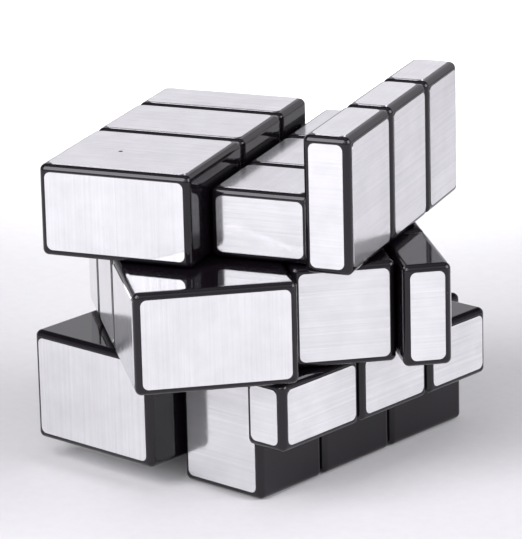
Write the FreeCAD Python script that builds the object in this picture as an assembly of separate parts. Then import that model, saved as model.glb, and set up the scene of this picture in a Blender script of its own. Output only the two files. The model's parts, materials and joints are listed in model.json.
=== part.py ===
import FreeCAD, Part

import math
import os

from FreeCAD import Vector

# Twisty puzzle cube of the stepped-thickness kind: every layer has its own thickness, so the shape is
# what has to be solved.
#
# The puzzle is 57 mm across when solved. A 19 mm middle slice runs through it on all three axes, and the
# six outer layers are 9, 13, 17, 21, 25 and 29 mm thick. It is modelled scrambled: the left and right slabs
# are each a quarter turn out of step with the middle slab, and then the top and the middle layer are turned
# part of the way round the vertical axis.
#
# Frame: +Z up, X to the right, Y to the back, both along the bottom layer. The origin is where the vertical
# turning axis meets the surface the puzzle stands on. Every piece is built around the core's centre, in line
# with the axes, and is turned with its layer and lifted at the end.
#
# Mechanism: a six-armed core carries six centre hubs on screws and springs. Around each arm a turning drum of
# radius DRUM_RADIUS reaches below the cut plane, and the feet of the edges and corners run in those drums,
# hooked under the centre caps and under each other. All the sliding faces are planes square to a turning
# axis or cylinders about one, so a layer can be turned to any angle.

# ---- driving dimensions, millimetres and degrees
SLICE = 19.0                     # width of the middle slice on every axis
LEFT_THICKNESS = 29.0            # thickness of the left slab, foil included
RIGHT_THICKNESS = 9.0            # thickness of the right slab, foil included
SLAB_RING = (25.0, 17.0, 13.0, 21.0)   # front, up, back and down thickness of the left slab
SLAB_QUARTER_TURNS = {-1: 0, 0: 1, 1: -1}   # quarter turns of the left, middle and right slab
LAYER_ANGLE = {-1: 0.0, 0: 52.0, 1: 20.0}   # turn of the bottom, middle and top layer about +Z
FOIL = 0.15                      # thickness of the brushed foil on each outer face
FOIL_INSET = 1.22                # border of bare plastic round a foil
FOIL_CORNER = 1.1                # corner radius of a foil
EDGE_ROUND = 1.15                # rounding along every edge of a block
GAP = 0.4                        # running clearance between neighbouring pieces
WALL = 1.8                       # wall thickness of the hollow blocks
DRUM_RADIUS = 15.5               # radius of the drum that a layer's feet turn in
DRUM_FLOOR = 4.5                 # distance of that drum's floor from the core's centre
BEYOND = 40.0                    # further out than any block, for the shapes that only trim others

ARM_RADIUS = 2.6                 # arm of the core
ARM_END = 7.6                    # distance of an arm's end from the core's centre
CORE_BALL = 6.2                  # radius that rounds off the corners of the core's middle
HUB_ARM_CLEARANCE = 0.1          # radial clearance of a hub on its arm
HUB_STEM_ROUND = 0.9             # rounding along the corners of a hub's stem
HUB_FLANGE = 1.3                 # thickness of the flange that the cap is glued to
CAP_ROOF = 1.2                   # thickness of a centre cap under its foil
LEDGE_FLOOR = 8.2                # underside of the ledge that the spring presses on
LEDGE_TOP = 9.4                  # upper side of that ledge
SCREW_WELL_RADIUS = 3.5          # well in the hub for the spring and the screw's head

SCREW_TIP = 2.6                  # distance of a screw's tip from the core's centre
SCREW_RADIUS = 1.5               # crest radius of the thread, and radius of the shank
SCREW_ROOT = 1.2                 # root radius of the thread
SCREW_PITCH = 0.8                # spacing of the thread's crests
SCREW_CRESTS = 7                 # number of them
SCREW_HEAD_FLOOR = 12.8          # underside of the head
SCREW_HEAD_HEIGHT = 1.6
SCREW_HEAD_RADIUS = 2.8
SCREW_HEAD_RIM = 0.8             # height of the straight rim below the dome
SCREW_DOME_RADIUS = 2.24         # radius at which the dome is SCREW_DOME_DROP below its top
SCREW_DOME_DROP = 0.2
SCREW_HOLE_CLEARANCE = 0.02      # radial clearance of the thread in the core's arm
SHANK_CLEARANCE = 0.1            # radial clearance of the shank in the ledge and the washer
RECESS_LENGTH = 3.0              # cross recess in the screw's head
RECESS_WIDTH = 0.6
RECESS_DEPTH = 0.9

WASHER_RADIUS = 3.2
WASHER_THICKNESS = 0.4
WASHER_LIFT = 0.1                # film of grease under the washer
SPRING_WIRE = 0.5                # wire diameter
SPRING_MEAN_RADIUS = 2.3
SPRING_TURNS = 3.5
SPRING_STEPS = 56                # short straight lengths that the coiled wire is drawn with

# ---- derived places
HALF = SLICE / 2                 # distance of a cut plane from the core's centre
HALF_GAP = GAP / 2
REST_HEIGHT = HALF + max(SLAB_RING)   # height of the core's centre above the resting surface
FOOT_IN = DRUM_FLOOR + HALF_GAP       # nearest that a foot comes to the core, along its own axes
FOOT_OUT = DRUM_RADIUS - HALF_GAP     # furthest that a foot reaches inside its drums
FOOT_HALF = DRUM_FLOOR - HALF_GAP     # half width of an edge's foot and of a hub's stem
CAP_FLOOR = DRUM_RADIUS + HALF_GAP    # where a centre cap starts, clear of the drums around it

AXIS_NAMES = ({-1: "left", 1: "right"}, {-1: "front", 1: "back"}, {-1: "bottom", 1: "top"})
DIRECTIONS = [(axis, sign) for axis in range(3) for sign in (-1, 1)]
HALFWAY = 0.5                    # part of a unit vector that tells along an axis from square to it


def slab_thickness(slab, axis, sign):
    """Thickness of the outer block of a slab (-1 left, 0 middle, 1 right) on one side of one axis."""
    if axis == 0:
        return LEFT_THICKNESS if sign < 0 else RIGHT_THICKNESS
    place = {(1, -1): 0, (2, 1): 1, (1, 1): 2, (2, -1): 3}[axis, sign]
    return SLAB_RING[(place + SLAB_QUARTER_TURNS[slab]) % 4]


def axis_vector(axis, length=1.0):
    """Vector of a signed length along axis 0, 1 or 2."""
    parts = [0.0, 0.0, 0.0]
    parts[axis] = length
    return Vector(*parts)


def box(spans):
    """Box from three (one end, other end) spans, in any order of ends."""
    low = [min(span) for span in spans]
    size = [abs(span[1] - span[0]) for span in spans]
    return Part.makeBox(size[0], size[1], size[2], Vector(*low))


def rod(axis, sign, start, end, radius):
    """Cylinder about an axis of the core, from one distance out to another."""
    return Part.makeCylinder(radius, end - start, axis_vector(axis, sign * start), axis_vector(axis, sign))


def own_axes(place):
    """Axes on which a piece is in an outer layer: 3 for a corner, 2 for an edge, 1 for a centre."""
    return [axis for axis in range(3) if place[axis]]


def block_spans(place):
    """Three spans of a piece's plastic block, between its cut planes and its outer faces."""
    spans = []
    for axis in range(3):
        sign = place[axis]
        if sign:
            outer = HALF + slab_thickness(place[0], axis, sign) - FOIL
            spans.append((sign * (HALF + HALF_GAP), sign * outer))
        else:
            spans.append((HALF_GAP - HALF, HALF - HALF_GAP))
    return spans


def shrunk(spans, amount):
    """The same spans, pulled in by an amount at both ends."""
    return [(min(span) + amount, max(span) - amount) for span in spans]


def rounded_block(spans):
    """Block with every edge rounded."""
    solid = box(spans)
    return solid.makeFillet(EDGE_ROUND, solid.Edges)


def rounded_along(spans, axis, radius):
    """Block with only the four edges that run along one axis rounded."""
    solid = box(spans)
    parallel = [edge for edge in solid.Edges if abs(edge.tangentAt(0)[axis]) > HALFWAY]
    return solid.makeFillet(radius, parallel)


def drum(axis, sign):
    """All the space of one outer layer: its drum and everything beyond its cut plane."""
    well = rod(axis, sign, FOOT_IN, BEYOND, FOOT_OUT)
    beyond = [(-BEYOND, BEYOND)] * 3
    beyond[axis] = (sign * (HALF + HALF_GAP), sign * BEYOND)
    return well.fuse(box(beyond))


def clear_of_drums(solid, place):
    """Trims a piece clear of the drums of the layers that it isn't part of."""
    for axis, sign in DIRECTIONS:
        if place[axis] == 0:
            solid = solid.cut(rod(axis, sign, FOOT_HALF, HALF, CAP_FLOOR))
    return solid


def foot(place):
    """Foot of a corner or an edge: the block near the core that runs in its own layers' drums."""
    spans = []
    for axis in range(3):
        sign = place[axis]
        spans.append((sign * FOOT_IN, sign * FOOT_OUT) if sign else (-FOOT_HALF, FOOT_HALF))
    solid = box(spans)
    for axis in own_axes(place):
        solid = solid.common(drum(axis, place[axis]))
    return solid


def closing_plate(place, spans):
    """Plate that closes the open side of a hollow block, on one of its cut planes."""
    axis = 1 if place[1] else 2
    sign = place[axis]
    plate = shrunk(spans, WALL)
    plate[axis] = (sign * (HALF + HALF_GAP), sign * (HALF + HALF_GAP + WALL))
    return clear_of_drums(box(plate), place)


def hollow_block(place):
    """Corner or edge: a hollow moulded cover, the plate that closes it, and the foot that holds it in."""
    spans = block_spans(place)
    stalk = foot(place)
    plate = closing_plate(place, spans).cut(stalk)
    cover = rounded_block(spans).cut(box(shrunk(spans, WALL)))
    cover = clear_of_drums(cover, place).cut(stalk).cut(plate)
    return [cover, plate, stalk]


def centre_hub(axis, sign):
    """Hub of a centre piece: square stem round the core's arm, screw well, and the flange under the cap."""
    stem = [(-FOOT_HALF, FOOT_HALF)] * 3
    stem[axis] = (sign * FOOT_IN, sign * (CAP_FLOOR + HUB_FLANGE))
    body = rounded_along(stem, axis, HUB_STEM_ROUND)
    side = HALF - HALF_GAP - WALL
    flange = [(-side, side)] * 3
    flange[axis] = (sign * CAP_FLOOR, sign * (CAP_FLOOR + HUB_FLANGE))
    body = body.fuse(box(flange)).removeSplitter()
    body = body.cut(rod(axis, sign, 0, LEDGE_FLOOR, ARM_RADIUS + HUB_ARM_CLEARANCE))
    body = body.cut(rod(axis, sign, 0, BEYOND, SCREW_RADIUS + SHANK_CLEARANCE))
    return body.cut(rod(axis, sign, LEDGE_TOP, BEYOND, SCREW_WELL_RADIUS))


def centre_cap(axis, sign):
    """Hollow cap of a centre piece. Its skirt is scalloped to clear the drums of its four neighbours."""
    place = [0, 0, 0]
    place[axis] = sign
    spans = block_spans(place)
    room = shrunk(spans, WALL)
    room[axis] = (sign * HALF, sign * (abs(spans[axis][1]) - CAP_ROOF))
    return clear_of_drums(rounded_block(spans).cut(box(room)), place)


def face_foil(place, axis):
    """Thin foil with rounded corners on one outer face of a piece."""
    sign = place[axis]
    spans = block_spans(place)
    face = abs(spans[axis][1])
    plate = shrunk(spans, FOIL_INSET)
    plate[axis] = (sign * face, sign * (face + FOIL))
    return rounded_along(plate, axis, FOIL_CORNER)


def core():
    """Six-armed core, bored for the six screws."""
    body = Part.makeSphere(CORE_BALL).common(box([(-FOOT_HALF, FOOT_HALF)] * 3))
    for axis, sign in DIRECTIONS:
        body = body.fuse(rod(axis, sign, 0, ARM_END, ARM_RADIUS))
    for axis, sign in DIRECTIONS:
        body = body.cut(rod(axis, sign, SCREW_TIP, ARM_END, SCREW_RADIUS + SCREW_HOLE_CLEARANCE))
    return body


def to_arm(solid, axis, sign):
    """Turns a solid that was made along +Z on to one of the core's arms."""
    turned = solid.copy()
    if axis == 2 and sign < 0:
        turned.rotate(Vector(), Vector(1, 0, 0), 180)
    elif axis == 0:
        turned.rotate(Vector(), Vector(0, 1, 0), 90 * sign)
    elif axis == 1:
        turned.rotate(Vector(), Vector(1, 0, 0), -90 * sign)
    return turned


def screw():
    """Pan-head screw along +Z: grooved thread, plain shank, domed head and cross recess."""
    head_top = SCREW_HEAD_FLOOR + SCREW_HEAD_HEIGHT
    profile = [(0, SCREW_TIP), (SCREW_ROOT, SCREW_TIP)]
    for crest in range(SCREW_CRESTS):
        root_height = SCREW_TIP + crest * SCREW_PITCH
        profile.append((SCREW_RADIUS, root_height + SCREW_PITCH / 2))
        profile.append((SCREW_ROOT, root_height + SCREW_PITCH))
    profile.append((SCREW_RADIUS, profile[-1][1] + SCREW_PITCH / 2))
    profile.append((SCREW_RADIUS, SCREW_HEAD_FLOOR))
    profile.append((SCREW_HEAD_RADIUS, SCREW_HEAD_FLOOR))
    profile.append((SCREW_HEAD_RADIUS, SCREW_HEAD_FLOOR + SCREW_HEAD_RIM))
    corners = [Vector(radius, 0, height) for radius, height in profile]
    outline = [Part.makeLine(start, end) for start, end in zip(corners, corners[1:])]
    shoulder = Vector(SCREW_DOME_RADIUS, 0, head_top - SCREW_DOME_DROP)
    crown = Vector(0, 0, head_top)
    outline.append(Part.Arc(corners[-1], shoulder, crown).toShape())
    outline.append(Part.makeLine(crown, corners[0]))
    body = Part.Face(Part.Wire(outline)).revolve(Vector(), Vector(0, 0, 1), 360)
    for length, width in ((RECESS_LENGTH, RECESS_WIDTH), (RECESS_WIDTH, RECESS_LENGTH)):
        slot = [(-length / 2, length / 2), (-width / 2, width / 2), (head_top - RECESS_DEPTH, BEYOND)]
        body = body.cut(box(slot))
    return body


def washer():
    """Flat washer along +Z, on the hub's ledge."""
    start = LEDGE_TOP + WASHER_LIFT
    disc = rod(2, 1, start, start + WASHER_THICKNESS, WASHER_RADIUS)
    return disc.cut(rod(2, 1, 0, BEYOND, SCREW_RADIUS + SHANK_CLEARANCE))


def spring():
    """Compression spring along +Z, between the washer and the screw's head."""
    wire_radius = SPRING_WIRE / 2
    start = LEDGE_TOP + WASHER_LIFT + WASHER_THICKNESS + wire_radius
    height = SCREW_HEAD_FLOOR - wire_radius - start
    points = []
    for step in range(SPRING_STEPS + 1):
        share = step / SPRING_STEPS
        angle = 2 * math.pi * SPRING_TURNS * share
        place = Vector(math.cos(angle), math.sin(angle), 0) * SPRING_MEAN_RADIUS
        points.append(place + Vector(0, 0, start + height * share))
    section = Part.Wire(Part.makeCircle(wire_radius, points[0], points[1] - points[0]))
    mitred_corners = 1
    return Part.makePolygon(points).makePipeShell([section], True, False, mitred_corners)


def piece_name(place):
    """Name of a corner or an edge, such as top_front_left_corner."""
    words = [AXIS_NAMES[axis][place[axis]] for axis in (2, 1, 0) if place[axis]]
    if place[2] == 0:
        words.insert(0, "middle")
    return "_".join(words + ["corner" if len(own_axes(place)) == 3 else "edge"])


def in_place(solids, layer):
    """Group of solids, turned with its layer and lifted to its height above the resting surface."""
    group = Part.makeCompound(solids)
    group.rotate(Vector(), Vector(0, 0, 1), LAYER_ANGLE[layer])
    group.translate(Vector(0, 0, REST_HEIGHT))
    return group


def build():
    """Every node, as a name and its shape in the part's frame."""
    nodes = {}
    side_foils = []
    for place in [(x, y, z) for z in (-1, 0, 1) for y in (-1, 0, 1) for x in (-1, 0, 1)]:
        axes = own_axes(place)
        if len(axes) >= 2:
            name = piece_name(place)
            nodes[name] = in_place(hollow_block(place), place[2])
            nodes[name + "_foils"] = in_place([face_foil(place, axis) for axis in axes], place[2])
    for axis, sign in DIRECTIONS:
        layer = sign if axis == 2 else 0
        name = AXIS_NAMES[axis][sign] + "_centre"
        nodes[name + "_hub"] = in_place([centre_hub(axis, sign)], layer)
        nodes[name + "_cap"] = in_place([centre_cap(axis, sign)], layer)
        place = [0, 0, 0]
        place[axis] = sign
        if layer:
            nodes[name + "_foil"] = in_place([face_foil(place, axis)], layer)
        else:
            side_foils.append(face_foil(place, axis))
    nodes["side_centre_foils"] = in_place(side_foils, 0)
    nodes["core"] = in_place([core()], 0)
    for name, make in (("core_screws", screw), ("spring_washers", washer), ("tension_springs", spring)):
        nodes[name] = in_place([to_arm(make(), axis, sign) for axis, sign in DIRECTIONS], 0)
    return nodes


def main():
    os.makedirs("parts", exist_ok=True)
    for name, shape in build().items():
        shape.exportStep(os.path.join("parts", name + ".step"))
        volume = sum(solid.Volume for solid in shape.Solids)
        print(f"{name}: {len(shape.Solids)} solids, valid {shape.isValid()}, {volume / 1000:.2f} cm3")


main()
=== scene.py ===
import json
import math

import bpy
from mathutils import Matrix, Vector

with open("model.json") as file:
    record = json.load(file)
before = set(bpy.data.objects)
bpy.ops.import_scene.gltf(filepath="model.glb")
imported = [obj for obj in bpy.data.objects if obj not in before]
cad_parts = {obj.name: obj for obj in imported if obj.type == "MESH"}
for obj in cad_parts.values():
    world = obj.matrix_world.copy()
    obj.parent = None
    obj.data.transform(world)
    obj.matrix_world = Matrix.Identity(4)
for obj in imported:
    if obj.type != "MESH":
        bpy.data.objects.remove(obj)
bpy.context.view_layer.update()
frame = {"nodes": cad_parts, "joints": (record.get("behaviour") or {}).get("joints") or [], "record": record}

MM = 0.001                              # the scene is in metres
CORE = Vector(frame["joints"][0]["pos_m"])      # centre of the core, which the layers turn about
HALF_SLICE = 9.5 * MM                   # cut planes' distance from the core's centre
LAYER_ANGLE = {"bottom_layer": 0.0, "middle_layer": 52.0, "top_layer": 20.0}    # about +Z, in degrees

# ---- camera; in every azimuth 0 is the front and 90 the right
CAMERA_AZIMUTH = 41.195                 # angles in degrees
CAMERA_ELEVATION = 17.21
CAMERA_ROLL = -1.385
CAMERA_DISTANCE = 697.58 * MM           # from the core's centre
CAMERA_LENS = 257.07                    # focal length in mm
AIM_RIGHT = -9.848 * MM                 # point aimed at, to the right of and above the core's centre
AIM_UP = 0.663 * MM

# ---- studio
STUDIO_TINT = (0.995, 0.975, 1.03)
# brightness of the backdrop by direction, counter-clockwise from +X in degrees
BACKDROP = ((-180, 0.45), (-165, 0.42), (-120, 0.42), (-100, 0.8), (-60, 0.8), (-40, 0.6), (-10, 0.75),
            (10, 1.2), (38, 1.2), (50, 0.35), (75, 0.75), (120, 0.88), (155, 0.85), (180, 0.35))
CEILING_EDGE = (0.4, 0.58)              # sines of elevation between which the ceiling begins
OVERHEAD_EDGE = (0.8, 0.95)             # sines of elevation between which it brightens
CEILING_BRIGHTNESS = (0.04, 0.45)       # at its edge, and straight overhead
SOFTBOX_DISTANCE = 1.0                  # from the core's centre
SPOT_HEIGHT = 1.0                       # above the floor
FLOOR_HALF_WIDTH = 6.0
FLOOR_GAP = 0.02 * MM                   # keeps the floor just clear of the lowest faces
FLOOR_GRAIN = 0.4                       # changes per mm
FLOOR_SHADE = (0.64, 0.66)
FLOOR_ROUGHNESS = 0.85
FLOOR_SPECULAR = 0.2

# ---- brushed foil
FOIL_TINT = (0.985, 0.985, 1.0)
FOIL_BRIGHTNESS = 0.82
FLAT_PAINTED_SHADE = 0.035                    # painted shade: how much darker flat foils are, for the dimmer light they reflect
FINE_STREAKS = (7.0, 0.045, 3.0)        # changes per mm across and along them, and their detail
BROAD_STREAKS = (1.5, 0.02, 2.0)
STREAK_CONTRAST = 0.26
FLAT_PAINTED_STREAK_SOFTENING = 0.12                   # painted light: how much weaker the streaks are on flat foils, for how the light falls on them
RIGHT_PAINTED_STREAK_HARDENING = 0.14                  # painted shade: how much stronger they are on foils that face right, for the darker light they reflect
CLOUD_SCALE = 0.16                      # changes per mm
CLOUD_CONTRAST = 0.28
FOIL_METALLIC = (0.78, 0.9)             # in the streaks' troughs and on their crests
FOIL_ROUGHNESS = (0.165, 0.09)
FLAT_BLUR = 0.025                       # how much rougher flat foils are
FOIL_ANISOTROPY = 0.7
STREAK_DEPTH = 0.002 * MM
COLUMN_SEED = 3.7                       # steps that make the streaks differ from block to block
ROW_SEED = 9.1
FLAT_SEED = 5.3                         # and from a block's upright foils to its flat one
SPECK = (-27.6 * MM, -22.7 * MM, 61.0 * MM)     # dirt on a top foil, in the top layer's own directions
SPECK_EDGE = (0.36 * MM, 0.44 * MM)     # distances from its centre between which it fades out

# ---- plastic
PLASTIC_TINT = (1.15, 0.85, 1.25)
PLASTIC_IOR = 1.45
SMUDGE_SCALE = 0.12                     # changes per mm, as are the next two
WAVE_SCALE = 0.22
GRAIN_SCALE = 9.0
GRAIN_HEIGHT = 0.02                     # as a share of the waves' height
SHADE_SPREAD = (0.8, 1.25)              # shares of the plain value between which smudges vary it
ROUGHNESS_SPREAD = (0.85, 1.3)
DUST_SCALE = 0.3                        # cells per mm, with one fleck of dust in each cell's volume
DUST_RADIUS = 0.022                     # as a share of a cell
DUST_SHADE = 0.12
DUST_ROUGHNESS = 0.5

# ---- steel
STEEL_TINT = (1.0, 0.99, 0.95)
STEEL_SCALE = 1.4                       # changes per mm
STEEL_SHADE = (0.5, 0.68)
STEEL_ROUGHNESS = (0.22, 0.4)

NOISE_MIDDLE = 0.5
NOISE_RANGE = (0.3, 0.7)                # where nearly all of a noise's values lie


class Nodes:
    """Short way to add and join the nodes of one material or world."""

    def __init__(self, tree):
        self.tree = tree
        tree.nodes.clear()

    def add(self, kind, **settings):
        node = self.tree.nodes.new(kind)
        for name, value in settings.items():
            setattr(node, name, value)
        return node

    def feed(self, socket, value):
        """Joins another socket to an input, or writes a value on it."""
        if isinstance(value, bpy.types.NodeSocket):
            self.tree.links.new(value, socket)
        else:
            socket.default_value = value

    def set(self, node, name, value):
        self.feed(node.inputs[name], value)

    def math(self, operation, first, second=0.0, clamp=False):
        node = self.add("ShaderNodeMath", operation=operation, use_clamp=clamp)
        self.set(node, 0, first)
        self.set(node, 1, second)
        return node.outputs[0]

    def vector_math(self, operation, first, second):
        node = self.add("ShaderNodeVectorMath", operation=operation)
        self.set(node, 0, first)
        self.set(node, 1, second)
        return node.outputs["Value" if operation == "DISTANCE" else 0]

    def turn(self, vector, degrees):
        """A point or direction turned about Z."""
        node = self.add("ShaderNodeVectorRotate", rotation_type="Z_AXIS")
        self.set(node, "Vector", vector)
        self.set(node, "Angle", math.radians(degrees))
        return node.outputs[0]

    def split(self, vector):
        node = self.add("ShaderNodeSeparateXYZ")
        self.set(node, 0, vector)
        return node.outputs

    def join(self, x, y, z):
        node = self.add("ShaderNodeCombineXYZ")
        for index, value in enumerate((x, y, z)):
            self.set(node, index, value)
        return node.outputs[0]

    def mix_vectors(self, share, first, second):
        """The first vector where the share is 0, the second where it is 1."""
        node = self.add("ShaderNodeMix", data_type="VECTOR")
        self.set(node, "Factor", share)
        ends = [socket for socket in node.inputs if socket.type == "VECTOR" and socket.name in ("A", "B")]
        for socket, value in zip(ends, (first, second)):
            self.feed(socket, value)
        return [socket for socket in node.outputs if socket.type == "VECTOR"][0]

    def in_mm(self, point, per_mm=1.0):
        """A point in millimetres, or scaled so that a noise changes about so many times per mm."""
        return self.vector_math("MULTIPLY", point, (per_mm / MM,) * 3)

    def noise(self, vector, detail, roughness, seed=None):
        node = self.add("ShaderNodeTexNoise", noise_dimensions="3D" if seed is None else "4D")
        self.set(node, "Vector", vector)
        self.set(node, "Scale", 1.0)
        self.set(node, "Detail", detail)
        self.set(node, "Roughness", roughness)
        if seed is not None:
            self.set(node, "W", seed)
        return node.outputs[0]

    def ramp(self, value, span, result):
        """Linear map of a value from one range to another, held at its ends."""
        node = self.add("ShaderNodeMapRange", clamp=True)
        self.set(node, "Value", value)
        for name, number in zip(("From Min", "From Max", "To Min", "To Max"), (*span, *result)):
            self.set(node, name, number)
        return node.outputs[0]

    def bump(self, height, distance, strength=1.0):
        node = self.add("ShaderNodeBump")
        self.set(node, "Height", height)
        self.set(node, "Distance", distance)
        self.set(node, "Strength", strength)
        return node.outputs[0]


def new_material(name):
    material = bpy.data.materials.new(name)
    material.use_nodes = True
    nodes = Nodes(material.node_tree)
    output = nodes.add("ShaderNodeOutputMaterial")
    shader = nodes.add("ShaderNodeBsdfPrincipled")
    nodes.set(output, "Surface", shader.outputs[0])
    return material, nodes, shader


def grey_colour(nodes, value, tint=(1.0, 1.0, 1.0)):
    """Colour socket from a brightness socket and a fixed tint."""
    return nodes.vector_math("MULTIPLY", nodes.join(value, value, value), tint)


def block_seed(nodes, x, y, flat, angle):
    """Seed that differs between columns, rows and layers, and between flat and upright foils."""
    column = nodes.math("ADD", nodes.math("GREATER_THAN", x, -HALF_SLICE),
                        nodes.math("GREATER_THAN", x, HALF_SLICE))
    row = nodes.math("ADD", nodes.math("GREATER_THAN", y, -HALF_SLICE),
                     nodes.math("GREATER_THAN", y, HALF_SLICE))
    seed = nodes.math("ADD", nodes.math("MULTIPLY", column, COLUMN_SEED),
                      nodes.math("MULTIPLY", row, ROW_SEED))
    seed = nodes.math("ADD", seed, nodes.math("MULTIPLY", flat, FLAT_SEED))
    return nodes.math("ADD", seed, angle)


def streak_noise(nodes, point, across, streaks, seed):
    """Noise that changes quickly on the axes that lie across the streaks, and slowly on the others."""
    quick, slow, detail = streaks
    per_mm = nodes.vector_math("ADD", nodes.vector_math("MULTIPLY", across, (quick - slow,) * 3), (slow,) * 3)
    place = nodes.vector_math("MULTIPLY", nodes.in_mm(point), per_mm)
    return nodes.noise(place, detail, roughness=0.6, seed=seed)


def foil_brightness(nodes, streaks, clouds, flat, normal_x):
    """Streaky, slightly cloudy brightness with painted shade: flat foils darker, and streaks strongest on
    foils that face right and weakest on flat ones, for how the light falls on each.
    """
    # painted light: weaker streaks on flat foils
    painted_softening = nodes.math("MULTIPLY", flat, FLAT_PAINTED_STREAK_SOFTENING)
    # painted shade: stronger streaks on foils that face right
    painted_hardening = nodes.math("MULTIPLY", nodes.math("GREATER_THAN", normal_x, 0.5), RIGHT_PAINTED_STREAK_HARDENING)
    contrast = nodes.math("ADD", nodes.math("SUBTRACT", STREAK_CONTRAST, painted_softening), painted_hardening)
    streaked = nodes.math("MULTIPLY", nodes.math("SUBTRACT", streaks, NOISE_MIDDLE), contrast)
    clouded = nodes.math("MULTIPLY", nodes.math("SUBTRACT", clouds, NOISE_MIDDLE), CLOUD_CONTRAST)
    # painted shade: flat foils get a darker colour
    level = nodes.math("SUBTRACT", FOIL_BRIGHTNESS, nodes.math("MULTIPLY", flat, FLAT_PAINTED_SHADE))
    return nodes.math("ADD", nodes.math("ADD", streaked, clouded), level, clamp=True)


def streak_tangent(nodes, left, flat, normal_x, normal_y, angle):
    """Direction across the streaks, because that is the way they spread a reflection."""
    sideways = nodes.join(nodes.math("MULTIPLY", normal_y, -1.0), normal_x, 0.0)
    on_upright = nodes.mix_vectors(left, (0.0, 0.0, 1.0), sideways)
    on_flat = nodes.mix_vectors(left, (1.0, 0.0, 0.0), (0.0, 1.0, 0.0))
    to_world = nodes.add("ShaderNodeVectorTransform", vector_type="VECTOR", convert_from="OBJECT",
                         convert_to="WORLD")
    nodes.set(to_world, 0, nodes.turn(nodes.mix_vectors(flat, on_upright, on_flat), angle))
    return to_world.outputs[0]


def foil_material(layer, angle):
    """Brushed silver foil of one layer, worked out in the directions that the layer had before its turn.

    Streaks are upright on the left slab and level on the rest. On flat foils they run left to right on the
    left slab and front to back on the rest.
    """
    material, nodes, shader = new_material("brushed_foil_" + layer)
    place = nodes.add("ShaderNodeTexCoord")
    point = nodes.turn(place.outputs["Object"], -angle)
    x, y, _ = nodes.split(point)
    normal_x, normal_y, normal_z = nodes.split(nodes.turn(place.outputs["Normal"], -angle))
    flat = nodes.math("GREATER_THAN", nodes.math("ABSOLUTE", normal_z), 0.5)
    left = nodes.math("LESS_THAN", x, -HALF_SLICE)
    seed = block_seed(nodes, x, y, flat, angle)
    # 1 on each axis that lies across the streaks, 0 on the others
    across = nodes.join(nodes.math("ABSOLUTE", nodes.math("SUBTRACT", left, flat)), left,
                        nodes.math("SUBTRACT", 1.0, left))
    fine = streak_noise(nodes, point, across, FINE_STREAKS, seed)
    broad = streak_noise(nodes, point, across, BROAD_STREAKS, seed)
    streaks = nodes.math("MULTIPLY", nodes.math("ADD", fine, broad), 0.5)
    clouds = nodes.noise(nodes.in_mm(point, CLOUD_SCALE), detail=3.0, roughness=0.6, seed=seed)
    # the foil colour holds painted shade by facing, besides its real streaks and clouds
    brightness = foil_brightness(nodes, streaks, clouds, flat, normal_x)
    metallic = nodes.ramp(streaks, NOISE_RANGE, FOIL_METALLIC)
    roughness = nodes.math("ADD", nodes.ramp(streaks, NOISE_RANGE, FOIL_ROUGHNESS),
                           nodes.math("MULTIPLY", flat, FLAT_BLUR))
    if layer == "top_layer":
        clean = nodes.ramp(nodes.vector_math("DISTANCE", point, SPECK), SPECK_EDGE, (0.0, 1.0))
        brightness = nodes.math("MULTIPLY", brightness, clean)
        metallic = nodes.math("MULTIPLY", metallic, clean)
        roughness = nodes.math("MAXIMUM", roughness, nodes.math("SUBTRACT", 1.0, clean))
    nodes.set(shader, "Base Color", grey_colour(nodes, brightness, FOIL_TINT))
    nodes.set(shader, "Metallic", metallic)
    nodes.set(shader, "Roughness", roughness)
    nodes.set(shader, "Anisotropic", FOIL_ANISOTROPY)
    nodes.set(shader, "Tangent", streak_tangent(nodes, left, flat, normal_x, normal_y, angle))
    nodes.set(shader, "Normal", nodes.bump(streaks, STREAK_DEPTH, strength=0.5))
    return material


def plastic_material(name, shade, roughness, waviness):
    """Black moulded plastic with faint waviness, smudges and flecks of dust."""
    material, nodes, shader = new_material(name)
    place = nodes.add("ShaderNodeTexCoord").outputs["Object"]
    smudges = nodes.noise(nodes.in_mm(place, SMUDGE_SCALE), detail=4.0, roughness=0.6)
    waves = nodes.noise(nodes.in_mm(place, WAVE_SCALE), detail=1.0, roughness=0.4)
    grain = nodes.noise(nodes.in_mm(place, GRAIN_SCALE), detail=2.0, roughness=0.5)
    cells = nodes.add("ShaderNodeTexVoronoi")
    nodes.set(cells, "Vector", nodes.in_mm(place))
    nodes.set(cells, "Scale", DUST_SCALE)
    dust = nodes.math("LESS_THAN", cells.outputs["Distance"], DUST_RADIUS)
    brightness = nodes.ramp(smudges, NOISE_RANGE, [shade * share for share in SHADE_SPREAD])
    brightness = nodes.math("ADD", brightness, nodes.math("MULTIPLY", dust, DUST_SHADE))
    rough = nodes.ramp(smudges, NOISE_RANGE, [roughness * share for share in ROUGHNESS_SPREAD])
    rough = nodes.math("ADD", rough, nodes.math("MULTIPLY", dust, DUST_ROUGHNESS))
    height = nodes.math("ADD", waves, nodes.math("MULTIPLY", grain, GRAIN_HEIGHT))
    nodes.set(shader, "Base Color", grey_colour(nodes, brightness, PLASTIC_TINT))
    nodes.set(shader, "Roughness", rough)
    nodes.set(shader, "IOR", PLASTIC_IOR)
    nodes.set(shader, "Normal", nodes.bump(height, waviness))
    return material


def steel_material():
    """Zinc-plated steel with fine cloudiness."""
    material, nodes, shader = new_material("plated_steel")
    place = nodes.add("ShaderNodeTexCoord").outputs["Object"]
    clouds = nodes.noise(nodes.in_mm(place, STEEL_SCALE), detail=4.0, roughness=0.6)
    shade = nodes.ramp(clouds, NOISE_RANGE, STEEL_SHADE)
    nodes.set(shader, "Base Color", grey_colour(nodes, shade, STEEL_TINT))
    nodes.set(shader, "Metallic", 1.0)
    nodes.set(shader, "Roughness", nodes.ramp(clouds, NOISE_RANGE, STEEL_ROUGHNESS))
    return material


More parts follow.
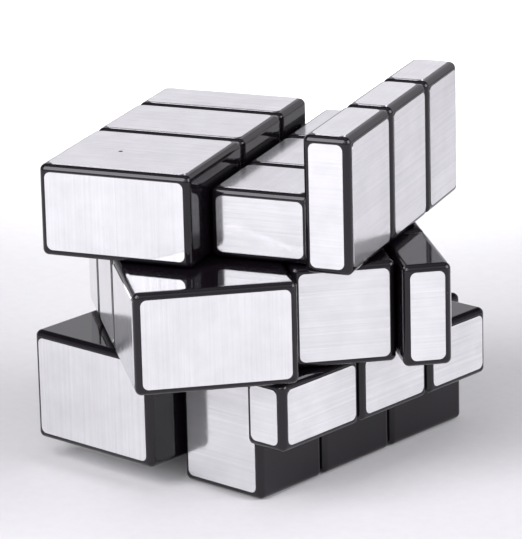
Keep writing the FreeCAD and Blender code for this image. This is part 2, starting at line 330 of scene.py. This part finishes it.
def floor_material():
    """Plain pale studio surface."""
    material, nodes, shader = new_material("pale_floor")
    place = nodes.add("ShaderNodeTexCoord").outputs["Object"]
    grain = nodes.noise(nodes.in_mm(place, FLOOR_GRAIN), detail=2.0, roughness=0.5)
    nodes.set(shader, "Base Color", grey_colour(nodes, nodes.ramp(grain, NOISE_RANGE, FLOOR_SHADE)))
    nodes.set(shader, "Roughness", FLOOR_ROUGHNESS)
    nodes.set(shader, "Specular IOR Level", FLOOR_SPECULAR)
    return material


def paint_nodes():
    """Gives every CAD node its detailed material. Each layer has a foil of its own."""
    black = plastic_material("gloss_black_plastic", shade=0.005, roughness=0.06, waviness=0.006 * MM)
    inner = plastic_material("satin_inner_plastic", shade=0.03, roughness=0.35, waviness=0.01 * MM)
    shared = {"black_plastic": black, "inner_plastic": inner, "steel": steel_material()}
    slots = {row["node"]: row["material_slot"] for row in frame["record"]["subparts"]}
    for body, names in frame["record"]["behaviour"]["bodies"].items():
        materials = {**shared, "brushed_foil": foil_material(body, LAYER_ANGLE[body])}
        for name in names:
            for slot in frame["nodes"][name].material_slots:
                slot.material = materials[slots[name]]


def add_floor():
    size = FLOOR_HALF_WIDTH
    mesh = bpy.data.meshes.new("floor")
    corners = [(-size, -size, 0), (size, -size, 0), (size, size, 0), (-size, size, 0)]
    mesh.from_pydata(corners, [], [(0, 1, 2, 3)])
    mesh.materials.append(floor_material())
    floor = bpy.data.objects.new("floor", mesh)
    bpy.context.scene.collection.objects.link(floor)
    floor.location.z = -FLOOR_GAP


def add_world():
    """Backdrop whose brightness changes round the room, a dark ceiling, and a glow straight overhead."""
    world = bpy.data.worlds.new("studio")
    bpy.context.scene.world = world
    world.use_nodes = True
    nodes = Nodes(world.node_tree)
    output = nodes.add("ShaderNodeOutputWorld")
    background = nodes.add("ShaderNodeBackground")
    nodes.set(output, "Surface", background.outputs[0])
    x, y, height = nodes.split(nodes.add("ShaderNodeTexCoord").outputs["Generated"])
    curve = nodes.add("ShaderNodeValToRGB")
    nodes.set(curve, "Fac", nodes.ramp(nodes.math("ARCTAN2", y, x), (-math.pi, math.pi), (0.0, 1.0)))
    stops = curve.color_ramp.elements
    for degrees, _ in BACKDROP[1:-1]:       # the ramp already has its two ends
        stops.new((degrees + 180) / 360)
    for stop, (degrees, brightness) in zip(stops, BACKDROP):
        stop.position = (degrees + 180) / 360
        stop.color = (brightness, brightness, brightness, 1.0)
    backdrop = nodes.split(curve.outputs["Color"])[0]
    upward = nodes.ramp(height, CEILING_EDGE, (0.0, 1.0))
    ceiling = nodes.ramp(height, OVERHEAD_EDGE, CEILING_BRIGHTNESS)
    glow = nodes.math("ADD", nodes.math("MULTIPLY", backdrop, nodes.math("SUBTRACT", 1.0, upward)),
                      nodes.math("MULTIPLY", ceiling, upward))
    nodes.set(background, "Color", grey_colour(nodes, glow, STUDIO_TINT))
    nodes.set(background, "Strength", 1.0)


def direction(azimuth, elevation=0.0):
    """Unit vector from the core, for angles in degrees."""
    around = math.radians(azimuth)
    up = math.radians(elevation)
    return Vector((math.sin(around) * math.cos(up), -math.cos(around) * math.cos(up), math.sin(up)))


def add_light(name, lamp):
    light = bpy.data.objects.new(name, lamp)
    bpy.context.scene.collection.objects.link(light)
    return light


def add_softbox(name, azimuth, elevation, width, height, radiance):
    """Rectangular softbox that faces the core."""
    lamp = bpy.data.lights.new(name, "AREA")
    lamp.shape = "RECTANGLE"
    lamp.size = width
    lamp.size_y = height
    lamp.energy = radiance * math.pi * width * height
    lamp.color = STUDIO_TINT
    away = direction(azimuth, elevation)
    light = add_light(name, lamp)
    light.location = CORE + away * SOFTBOX_DISTANCE
    light.rotation_euler = away.to_track_quat("Z", "Y").to_euler()
    light.visible_camera = False


def add_floor_spot(name, behind, radius, power):
    """Soft spotlight straight down on the floor, in line with the camera and behind the object."""
    lamp = bpy.data.lights.new(name, "SPOT")
    lamp.energy = power
    lamp.spot_size = 2 * math.atan(radius / SPOT_HEIGHT)
    lamp.spot_blend = 1.0
    lamp.shadow_soft_size = 0.02
    light = add_light(name, lamp)
    light.location = Vector((0, 0, SPOT_HEIGHT)) - direction(CAMERA_AZIMUTH) * behind


def add_camera():
    away = direction(CAMERA_AZIMUTH, CAMERA_ELEVATION)
    level = direction(CAMERA_AZIMUTH + 90)
    aim = CORE + level * AIM_RIGHT + level.cross(-away) * AIM_UP
    position = CORE + away * CAMERA_DISTANCE
    forward = (aim - position).normalized()
    right = forward.cross(Vector((0, 0, 1))).normalized()
    above = right.cross(forward)
    roll = math.radians(CAMERA_ROLL)
    right, above = (right * math.cos(roll) + above * math.sin(roll),
                    above * math.cos(roll) - right * math.sin(roll))
    camera = bpy.data.objects.new("camera", bpy.data.cameras.new("camera"))
    bpy.context.scene.collection.objects.link(camera)
    camera.data.lens = CAMERA_LENS
    camera.data.sensor_width = 36.0
    camera.data.clip_end = 50.0
    camera.data.dof.use_dof = False
    turned = Matrix((right, above, -forward)).transposed()
    camera.matrix_world = Matrix.Translation(position) @ turned.to_4x4()
    bpy.context.scene.camera = camera


paint_nodes()
add_floor()
add_world()
add_softbox("key", azimuth=-7, elevation=38, width=0.62, height=0.83, radiance=6.4)
add_softbox("key_side", azimuth=30, elevation=37, width=0.45, height=0.62, radiance=2.2)
add_softbox("side", azimuth=62, elevation=42, width=0.45, height=0.45, radiance=0.9)
add_softbox("fill", azimuth=110, elevation=28, width=0.75, height=0.7, radiance=4.8)
add_floor_spot("floor_near", behind=0.16, radius=0.15, power=10.0)
add_floor_spot("floor_middle", behind=0.26, radius=0.16, power=28.0)
add_floor_spot("floor_far", behind=0.38, radius=0.2, power=35.0)
add_camera()
bpy.context.scene.view_settings.view_transform = "Standard"
